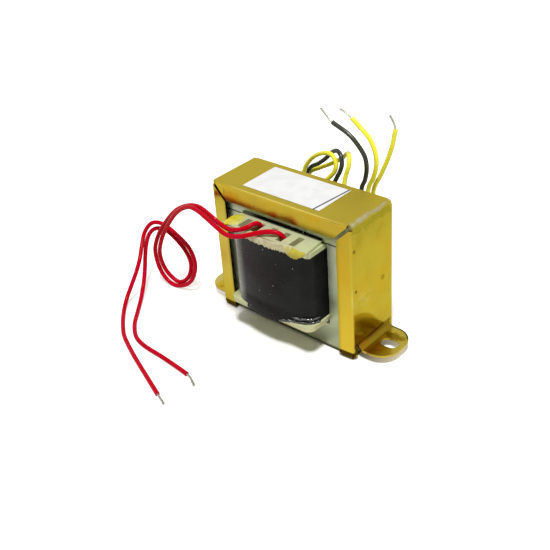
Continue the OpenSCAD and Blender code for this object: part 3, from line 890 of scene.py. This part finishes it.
def tarnished_walls(place, colour):
    """Olive tarnish high on the right wall, and cloudy blotches everywhere below the top."""
    high_up = within(place, x=[onto_right_wall], z=[(36, 49)])
    colour = tinted(colour, (0.35, 0.285, 0.026), high_up, 0.45)
    below_top = sums("SUBTRACT", 1.0, within(place, z=[onto_top]))
    depth = sums("ADD", 0.14, product(high_up, 0.3))
    blotches = cloudy(place, 6 * MM, 0.42, 0.7, 6.0)
    colour = tinted(colour, (0.27, 0.225, 0.02), blotches, below_top, depth)
    under_fold = stain(place, (29.5, 0, 48.6), (1, 14, 2), 0.8)
    return tinted(colour, (0.27, 0.24, 0.014), under_fold, 0.6)


def front_lips(place, colour):
    """An orange streak on the right lip, paler side lips and painted shade along the top lip's lower edge."""
    streaked = stain(place, (26, -11.6, 34), (3, 1, 11), 0.8)
    colour = tinted(colour, (0.6, 0.33, 0.012), streaked, 0.5)
    right_lip = within(place, x=[(20, 24)], y=[onto_lips], z=[(45, 10)])
    colour = tinted(colour, (0.66, 0.465, 0.04), right_lip, 0.85)
    left_lip = within(place, x=[(-22, -23.4)], y=[onto_lips], z=[(54, 26), (3, 20)])
    colour = tinted(colour, (0.66, 0.54, 0.095), left_lip, 0.85)
    # Painted shade along the top lip's lower edge.
    lip_edge_shade = within(place, abs_x=[(25, 23)], y=[onto_lips], z=[(47.4, 45.2)])
    return tinted(colour, (0.13, 0.11, 0.006), lip_edge_shade, 0.6)


def left_foot(place, colour):
    """A pale end and one brown spot on the left foot."""
    pale_end = within(place, x=[(-36, -39)], z=[onto_feet])
    colour = tinted(colour, (0.55, 0.49, 0.2), pale_end, 0.6)
    spot = stain(place, (-34.6, -7.3, 3.7), (1.1, 1.1, 1.1), 0.4)
    return tinted(colour, (0.25, 0.16, 0.01), spot, 0.5)


def bare_edges(place, colour, scraped):
    """Steel laid bare on the scraped fold, and painted shade on the lips' lower ends, the left lip's inner edge and
    the left mitre.
    """
    bare = patchy(place, 2 * MM, (0.38, 0.36, 0.24), (0.34, 0.3, 0.13), 0.35, 0.7)
    colour = tinted(colour, bare, scraped, 0.85)
    # Painted shade on the lips' lowest ends, above the floor.
    low_end_shade = within(place, abs_y=[(10.0, 10.6)], z=[(3.3, 2.8)])
    colour = tinted(colour, (0.05, 0.025, 0.004), low_end_shade)
    axes = split(place)
    # Painted shade on the left lip's inner edge and in the left mitre gap.
    left_edge = near(axes["X"], -23.6 * MM, 0.1 * MM)
    mitre = near(sums("ADD", axes["X"], axes["Z"]), 20.65 * MM, 0.15 * MM)
    on_lips = within(place, abs_y=[(10.4, 10.6)], z=[(49.6, 49.2)])
    return tinted(colour, (0.004, 0.004, 0.003), sums("MAXIMUM", left_edge, mitre), on_lips)


def passivated_steel():
    """Yellow passivate on zinc, with the stains, marks and scrapes of each face, painted highlights, shade and
    reflection, and the feet's dull rims.
    """
    material, shader, place = start_material("passivated_steel")
    rim = within(place, abs_x=[(30.5, 31.5)], z=[(3.64, 3.55)])
    scraped = stain(place, (28.7, -0.5, 50.75), (1.05, 14, 0.9), 0.6)
    colour = folds_and_walls(place, plated_ground(place))
    colour = tarnished_walls(place, stained_foot(place, colour, rim))
    colour = left_foot(place, front_lips(place, colour))
    colour = bare_edges(place, colour, scraped)
    marks = placed(handled, place, roughness=0.2, spread=0.07, size=9 * MM)
    on_lips = within(place, y=[onto_lips])
    side_lips = sums("SUBTRACT", on_lips, product(on_lips, within(place, z=[(43, 46)])))
    rough = marks["Roughness"]
    for mask, more in ((scraped, 0.25), (within(place, z=[onto_top]), 0.16), (side_lips, 0.15)):
        rough = sums("ADD", rough, product(mask, more))
    fill(shader, {
        "Base Color": colour, "Metallic": sums("SUBTRACT", 1.0, rim), "Roughness": rough,
        "Specular Tint": (1.0, 0.95, 0.5, 1),
    })
    bumped(shader, sums("ADD", marks["Height"], product(scraped, 0.4)), 0.06 * MM)
    return material


def rubbed_edge():
    """The plating on an edge, rubbed bright, with painted shade on the right foot's back edge."""
    material, shader, place = start_material("rubbed_edge")
    colour = patchy(place, 2 * MM, (0.56, 0.43, 0.07), (0.52, 0.46, 0.2))
    # Painted shade on the right foot's back edge.
    colour = tinted(colour, (0.04, 0.03, 0.006), within(place, x=[(32, 33)], y=[(1, 3)]))
    fill(shader, {"Base Color": colour, "Metallic": 1.0, "Roughness": 0.3})
    return material


def sprung_lips(form):
    """Lets the free edges of the lips stand off the core a little, as sheet springs back after folding."""
    low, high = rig.box("frame")
    half_depth = 11.25 * MM
    middle = low.y + half_depth
    lip_y, flat_x, flat_z, mitre = 10.3 * MM, 28.5 * MM, high.z - 1 * MM, 21.5 * MM
    top_slope, side_slope = math.tan(math.radians(6)), math.tan(math.radians(2.5))
    for vert in form.verts:
        x, y, z = abs(vert.co.x), vert.co.y - middle, vert.co.z
        if abs(y) > lip_y and x < flat_x and z < flat_z:
            on_top_lip = z > x + mitre
            off = (flat_z - z) * top_slope if on_top_lip else (flat_x - x) * side_slope
            vert.co.y += math.copysign(off, y)


finishes = [passivated_steel(), rubbed_edge()]
channel = eased("frame", "folded_frame", 0.12 * MM, finishes, edge_slot=1, shaped=sprung_lips)
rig.slot(channel, "plated_steel")


# Label
# A white sticker of coated paper, pressed on the frame's top, with a thin dark
# rule printed near its right end.
def label_paper():
    """Paper with a printed rule and a faint grey cast."""
    rule_x, rule_half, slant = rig.box("label")[1].x - 1.4 * MM, 0.32 * MM, 0.1
    material, shader, place = start_material("label_paper")
    axes = split(place)
    across = sums("SUBTRACT", axes["X"], product(axes["Y"], slant))
    colour = patchy(place, 5 * MM, (0.78, 0.775, 0.79), (0.73, 0.73, 0.745))
    colour = tinted(colour, (0.02, 0.02, 0.045), near(across, rule_x, rule_half))
    handled_finish(shader, place, colour, 0.02 * MM, roughness=0.5, spread=0.08, size=4 * MM)
    return material


dress("label", label_paper())

# Leads
# Five flexible hook-up wires, 1.6 mm over the insulation, that come up through
# the ledges' slots. The red pair is the primary; yellow, black and yellow is the
# secondary with its centre tap. They end stripped and bare.
lead_diameter, lead_sides = 1.6 * MM, 20
strand_bundle, strand_lay, tip_splay = 0.8 * MM, 7 * MM, 0.12 * MM
bare_points = 2
span_steps = 8


def smoothed(route):
    """A smooth line through the points of a route, in metres, as the solids follow it."""
    points = [Vector(p) * MM for p in route]
    line = []
    for k in range(len(points) - 1):
        p, q = points[max(k - 1, 0)], points[k]
        r, s = points[k + 1], points[min(k + 2, len(points) - 1)]
        for j in range(span_steps):
            t = j / span_steps
            line.append(0.5 * (
                2 * q + (r - p) * t + (2 * p - 5 * q + 4 * r - s) * t * t + (3 * q - p - 3 * r + s) * t ** 3
            ))
    return line + [points[-1]]


def curve_maker(name, line):
    """A curve through the points of a line, for a geometry tree to work on."""
    curve = bpy.data.curves.new(name, "CURVE")
    curve.dimensions = "3D"
    spline = curve.splines.new("POLY")
    spline.points.add(len(line) - 1)
    for point, place in zip(spline.points, line):
        point.co = (*place, 1)
    return linked(name, curve)


def start_geometry(name, inputs):
    """A new geometry tree with a Geometry input and output, and the other named inputs."""
    tree = bpy.data.node_groups.new(name, "GeometryNodeTree")
    tree.interface.new_socket("Geometry", in_out="INPUT", socket_type="NodeSocketGeometry")
    for label, kind in inputs.items():
        tree.interface.new_socket(label, in_out="INPUT", socket_type="NodeSocket" + kind)
    tree.interface.new_socket("Geometry", in_out="OUTPUT", socket_type="NodeSocketGeometry")
    return tree, tree.nodes.new("NodeGroupInput").outputs, tree.nodes.new("NodeGroupOutput")


def grown(maker, tree, name, **values):
    """The piece that a geometry tree makes from an object, with the tree's inputs set."""
    modifier = maker.modifiers.new("grown", "NODES")
    modifier.node_group = tree
    for socket in tree.interface.items_tree:
        key = socket.name.lower().replace(" ", "_")
        if socket.in_out == "INPUT" and key in values:
            modifier[socket.identifier] = values[key]
    return evaluated_piece(maker, name)


def drawn_out(curve, radius, sides, material, given):
    """Ends a geometry tree: a round bar along a curve, as smooth, real faces with their material."""
    ring = add("GeometryNodeCurvePrimitiveCircle", {"Resolution": sides, "Radius": radius})
    bar = add("GeometryNodeCurveToMesh", {
        "Curve": curve, "Profile Curve": ring.outputs["Curve"], "Fill Caps": True,
    })
    soft = add("GeometryNodeSetShadeSmooth", {"Geometry": bar.outputs["Mesh"]}).outputs[0]
    real = add("GeometryNodeRealizeInstances", {"Geometry": soft}).outputs[0]
    painted = add("GeometryNodeSetMaterial", {"Geometry": real, "Material": material}).outputs[0]
    fill(given, {"Geometry": painted})


def insulation_tree():
    """A round tube along a curve."""
    inputs = {"Diameter": "Float", "Sides": "Int", "Material": "Material"}
    tree, taken, given = start_geometry("insulation", inputs)
    radius = product(taken["Diameter"], 0.5)
    drawn_out(taken["Geometry"], radius, taken["Sides"], taken["Material"], given)
    return tree


def scaled(vector, factor):
    """A vector times a plain value."""
    return add("ShaderNodeVectorMath", {0: vector, "Scale": factor}, operation="SCALE").outputs[0]


def strands_tree():
    """Six strands twisted round a seventh along a curve, opening a little at the tip."""
    outer_strands, strand_sides, tip_power = 6, 8, 3.0
    tree, taken, given = start_geometry("strands", {
        "Bundle": "Float", "Lay Length": "Float", "Splay": "Float", "Material": "Material",
    })
    core = taken["Geometry"]
    strand = product(taken["Bundle"], 1 / 3)
    copies = add("GeometryNodeDuplicateElements", {
        "Geometry": core, "Amount": outer_strands,
    }, domain="SPLINE").outputs
    along = tree.nodes.new("GeometryNodeSplineParameter").outputs
    turns = sums("DIVIDE", along["Length"], taken["Lay Length"])
    start = product(copies["Duplicate Index"], 1 / outer_strands)
    angle = product(sums("ADD", turns, start), 2 * math.pi)
    tip = sums("POWER", along["Factor"], tip_power)
    opened = sums("MULTIPLY_ADD", tip, taken["Splay"], strand)
    normal = tree.nodes.new("GeometryNodeInputNormal").outputs[0]
    tangent = tree.nodes.new("GeometryNodeInputTangent").outputs[0]
    side = vector_sums("CROSS_PRODUCT", tangent, normal)
    ahead, painted_light_near = scaled(normal, sums("COSINE", angle)), scaled(side, sums("SINE", angle))
    outward = vector_sums("ADD", ahead, painted_light_near)
    twisted = add("GeometryNodeSetPosition", {
        "Geometry": copies["Geometry"], "Offset": scaled(outward, opened),
    })
    bundle = add("GeometryNodeJoinGeometry", {0: twisted.outputs[0]})
    fill(bundle, {0: core})
    strand_r = product(strand, 0.5)
    drawn_out(bundle.outputs[0], strand_r, strand_sides, taken["Material"], given)
    return tree


def insulation_material(name, colour, shade, gloss):
    """Extruded insulation: glossy, slightly mottled, with a little dust."""
    material, shader, place = start_material(name)
    colour = patchy(place, 5 * MM, colour, shade, 0.3, 0.7)
    specks = placed(dust, place, size=1.3 * MM, share=0.05)["Mask"]
    colour = tinted(colour, (0.6, 0.58, 0.52), specks)
    handled_finish(shader, place, colour, 0.03 * MM, roughness=0.24, spread=0.12, size=2 * MM)
    fill(shader, {"Specular IOR Level": gloss})
    return material


def tinned_copper():
    """Tinned strands, dull silver with a little copper showing."""
    material, shader, place = start_material("tinned_copper")
    colour = patchy(place, 0.8 * MM, (0.52, 0.53, 0.48), (0.47, 0.44, 0.37))
    handled_finish(shader, place, colour, roughness=0.38, spread=0.15, size=0.7 * MM)
    fill(shader, {"Metallic": 0.9})
    return material


red = insulation_material("red_insulation", (0.53, 0.001, 0.022), (0.49, 0.0, 0.006), 0.05)
yellow = insulation_material("yellow_insulation", (0.94, 0.89, 0.055), (0.89, 0.81, 0.035), 0.3)
black = insulation_material("black_insulation", (0.028, 0.034, 0.016), (0.02, 0.024, 0.012), 0.4)
tin = tinned_copper()

primary_route_a = [
    (-5.5, -13.6, 39.2), (-5.5, -14, 41.6), (-5.6, -15.5, 43.3), (-6, -17.3, 43.6),
    (-7.2, -19.3, 42.9), (-9.7, -20.7, 42), (-13.4, -21, 41.2), (-18.6, -20.2, 41.5),
    (-25.7, -18.3, 42.3), (-31.4, -17, 42.5), (-37.5, -16.2, 40.8), (-44.3, -15.9, 36.9),
    (-51, -15.4, 30.4), (-57.4, -15.2, 22.1), (-61.1, -15, 13.3), (-59.1, -14.8, 4.5),
    (-53.2, -14.3, 0.9), (-45.5, -13.4, 4.5), (-42.4, -12.4, 11.9), (-45, -11.6, 18.2),
    (-51.7, -11.6, 22.6), (-57.9, -11.9, 25), (-62.6, -13.2, 24.6), (-64.5, -15.8, 21.3),
    (-63, -19.4, 17.5), (-60.8, -23, 14.4), (-59.8, -26.4, 10.7), (-59.6, -29.8, 6.6),
    (-59.2, -33, 3.1), (-57, -36.7, 1.1), (-52.6, -41.2, 0.85), (-48.2, -45, 0.85),
    (-43.6, -48.3, 0.85), (-33.4, -53.3, 0.85), (-21.5, -58.4, 0.85), (-10.8, -62.9, 0.85),
    (-8.3, -63.9, 0.85), (-5.8, -64.9, 0.85),
]
primary_route_b = [
    (5.8, -15.3, 39.2), (5.6, -15.5, 41.5), (4.4, -16.3, 43.1), (2.2, -17.5, 43.6),
    (-0.5, -19.1, 43.3), (-3.8, -21, 42.3), (-7.8, -22.6, 41), (-12.8, -22.9, 40.2),
    (-17.8, -22.2, 41), (-24.5, -20.4, 41.8), (-29.9, -19.2, 42.5), (-35.2, -18.3, 41.8),
    (-41.6, -17.7, 37.9), (-47.6, -17.2, 31.5), (-53.4, -16.6, 23.4), (-57.5, -15.8, 14.5),
    (-57.1, -14.4, 6.4), (-52.5, -13, 2.1), (-47.4, -12.2, 5.4), (-45.8, -11.4, 11.3),
    (-48.7, -10.6, 15.8), (-54, -10.4, 19.6), (-58.6, -11, 22.1), (-62.4, -12.4, 21.8),
    (-64.2, -14.2, 19.6), (-64, -16.4, 16.4), (-63.1, -18.4, 12.9), (-61.6, -20.6, 9.5),
    (-60.2, -23, 5.9), (-58.5, -25.8, 3.1), (-55.8, -29.6, 1.4), (-51.1, -35.6, 0.85),
    (-46.4, -41.1, 0.85), (-40.4, -45.7, 0.85), (-33.7, -47.7, 0.85), (-23.2, -48.5, 0.85),
    (-10.4, -50, 0.85), (-7.3, -51.1, 0.85), (-4.4, -52.7, 0.85),
]
secondary_route_a = [
    (-5.5, 17.3, 39.2), (-5.4, 17.3, 41.8), (-4.2, 17.5, 44.4), (-1.8, 17.8, 47), (0.2, 18.1, 49.4),
    (0.9, 18.5, 51.9), (-0.1, 19, 54.2), (-2.5, 19.7, 55.1), (-5.8, 20.4, 54.3), (-10, 21.2, 52),
    (-13.5, 21.8, 48.9), (-16.4, 22.2, 44.4), (-18.4, 22.8, 36), (-18.6, 23, 26), (-16.4, 23, 15),
    (-11.4, 23, 5.4), (-4, 23, 0.85), (3.6, 23, 4.4), (9, 22.9, 12), (11.4, 22.8, 22),
    (11.6, 22.6, 33), (11.4, 22.4, 43.8), (14, 22, 49.7), (15.2, 22, 54.9), (14.5, 22, 59.7),
    (12.2, 22, 63.7), (8.6, 22, 66.6), (5.4, 22, 69), (2.9, 22, 70.4), (0.6, 22, 71.1),
]
centre_tap_route = [
    (0, 17.3, 39.2), (0, 17.3, 41.8), (0, 17.8, 44.4), (0.9, 18.6, 47.2), (2.1, 19.2, 50),
    (2.4, 19.9, 52.6), (1.2, 20.9, 54.9), (-1.2, 22, 55.6), (-4.2, 22.9, 54), (-7.3, 23.4, 50.8),
    (-11, 23.8, 47.7), (-15.7, 24.2, 44.3), (-19.2, 24.6, 37), (-20.2, 24.8, 27), (-18, 24.8, 15),
    (-12, 24.8, 5.2), (-4, 24.8, 0.85), (3.6, 24.9, 4), (7.6, 24.9, 11.4), (9, 24.4, 22),
    (8.9, 23.2, 34), (8.9, 22, 43.5), (10.9, 21.4, 48.2), (11.9, 21, 52.9), (11.1, 21, 57.1),
    (8, 21, 60.9), (4.3, 21, 63.7), (-2, 21, 66.3), (-4.5, 21, 68.3), (-6.7, 21, 70.5),
]
secondary_route_b = [
    (5.5, 17.3, 39.2), (5.5, 17.3, 41.8), (5, 17.6, 44.4), (4.6, 18.3, 47), (4.8, 19, 49.6),
    (5.3, 19.7, 52), (5, 20.7, 54.2), (3.6, 22.3, 55.3), (1.4, 24, 54.4), (-1.4, 25.3, 51.7),
    (-6, 25.9, 48.4), (-12.4, 26.1, 44.7), (-17.4, 26.2, 41.4), (-20.8, 26.6, 34.6),
    (-21.6, 26.8, 25), (-19.2, 26.8, 13.6), (-12.8, 26.8, 4.6), (-4, 26.8, 0.85), (4.4, 26.8, 4.4),
    (9.8, 26.8, 12.6), (12, 25.8, 23), (12.3, 24.8, 34), (12.5, 24, 43.4), (15.5, 24, 50.1),
    (18.1, 24, 56), (20.1, 24, 61.8), (20.9, 24, 65.7), (21.3, 24, 67.9), (20.5, 24, 70.2),
    (19.2, 24, 72.3),
]
leads = [
    ("primary_lead_a", "primary_strands_a", "red_pvc", red, primary_route_a, 0.2275),
    ("primary_lead_b", "primary_strands_b", "red_pvc", red, primary_route_b, 0.2149),
    ("secondary_lead_a", "secondary_strands_a", "yellow_pvc", yellow, secondary_route_a, 0.1685),
    ("centre_tap_lead", "centre_tap_strands", "black_pvc", black, centre_tap_route, 0.1699),
    ("secondary_lead_b", "secondary_strands_b", "yellow_pvc", yellow, secondary_route_b, 0.1709),
]
tube = insulation_tree()
twist = strands_tree()
for wire, tip, colour_slot, insulation, route, length in leads:
    line = smoothed(route)
    cut = len(line) - 1 - bare_points * span_steps
    strands = grown(
        curve_maker(tip + "_maker", line[cut - 2:]), twist, tip + "_twist",
        bundle=strand_bundle, lay_length=strand_lay, splay=tip_splay, material=tin,
    )
    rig.ride(strands, "root")
    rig.replaces(strands, tip)
    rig.slot(strands, "tinned_copper")
    piece = grown(
        curve_maker(wire + "_maker", line[:cut + 1]), tube, wire + "_wire",
        diameter=lead_diameter, sides=lead_sides, material=insulation,
    )
    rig.ride(piece, "root")
    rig.replaces(piece, wire)
    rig.slot(piece, colour_slot)
    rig.cord(
        piece, exit=line[0], length=length, diameter=lead_diameter, far_end="bare",
        stiffness="limp", lay="loose", path=line[:cut + 1], with_pieces=[strands],
    )

# Floor and light
# A plain white sweep, a white surround and one soft lamp in front, to the right
# and above. Away from the part the sweep glows until it is plain white, and just
# beside it a painted light, seen only by the camera, lifts the leads' shadows.
floor_reach = 3.0
floor_middle = (6 * MM, -6 * MM, 0)
lamp_place, lamp_target = Vector((0.22, -0.26, 0.94)), Vector((0, 0, 0.02))


def seen_rays(tree):
    """1 for the camera's own rays, and 1 for all rays that show what they meet."""
    rays = tree.nodes.new("ShaderNodeLightPath").outputs
    onward = sums("ADD", rays["Is Glossy Ray"], rays["Is Transmission Ray"])
    return rays["Is Camera Ray"], sums("ADD", rays["Is Camera Ray"], onward, clamp=True)


def white_floor():
    """White sheet with painted light beside the part, seen only by the camera, that lifts the leads' shadows and the
    left end of the part's shadow, and a glow further out until it is plain white.
    """
    material, shader, place = start_material("white_floor")
    fill(shader, {"Base Color": (0.93, 0.93, 0.92, 1), "Roughness": 0.8, "Specular IOR Level": 0.0})
    from_camera, seen = seen_rays(material.node_tree)
    away = vector_sums("DISTANCE", place, floor_middle)
    # Painted light: a glow for the camera only, 18 mm to 50 mm from the floor's middle, that lifts the leads' shadows
    # and the left end of the part's shadow.
    painted_light_near = product(ramped(away, 18 * MM, 50 * MM), 0.6, from_camera)
    beyond = product(ramped(away, 80 * MM, 600 * MM), 0.9, seen)
    glow = add("ShaderNodeEmission", {"Strength": sums("ADD", painted_light_near, beyond)})
    both = add("ShaderNodeAddShader", {0: shader.outputs[0], 1: glow.outputs[0]})
    fill(material.node_tree.nodes["Material Output"], {"Surface": both.outputs[0]})
    return material


floor_mesh = bpy.data.meshes.new("floor")
corners = [(x * floor_reach, y * floor_reach, 0) for x, y in ((-1, -1), (1, -1), (1, 1), (-1, 1))]
floor_mesh.from_pydata(corners, [], [(0, 1, 2, 3)])
floor_mesh.materials.append(white_floor())
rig.stage(linked("floor", floor_mesh))

world = bpy.data.worlds.new("white_surround")
scene.world = world
world.use_nodes = True
seen = seen_rays(world.node_tree)[1]
strength = add("ShaderNodeMapRange", {"Value": seen, "To Min": 0.22, "To Max": 1.0}).outputs[0]
tint = mixed(seen, (1.0, 1.0, 0.8), (1, 1, 1))
fill(world.node_tree.nodes["Background"], {"Strength": strength, "Color": tint})

lamp_data = bpy.data.lights.new("key_lamp", "AREA")
lamp_data.size = 0.16
lamp_data.energy = 9.6
lamp_data.color = (0.985, 0.985, 1.0)
lamp = linked("key_lamp", lamp_data)
lamp.location = lamp_place
lamp.rotation_euler = (lamp_target - lamp_place).to_track_quat("-Z", "Y").to_euler()

seen_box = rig.bounds()
with open("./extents.json", "w") as out:
    json.dump({"cad": [list(v) for v in cad_box], "visual": [list(v) for v in seen_box]}, out)
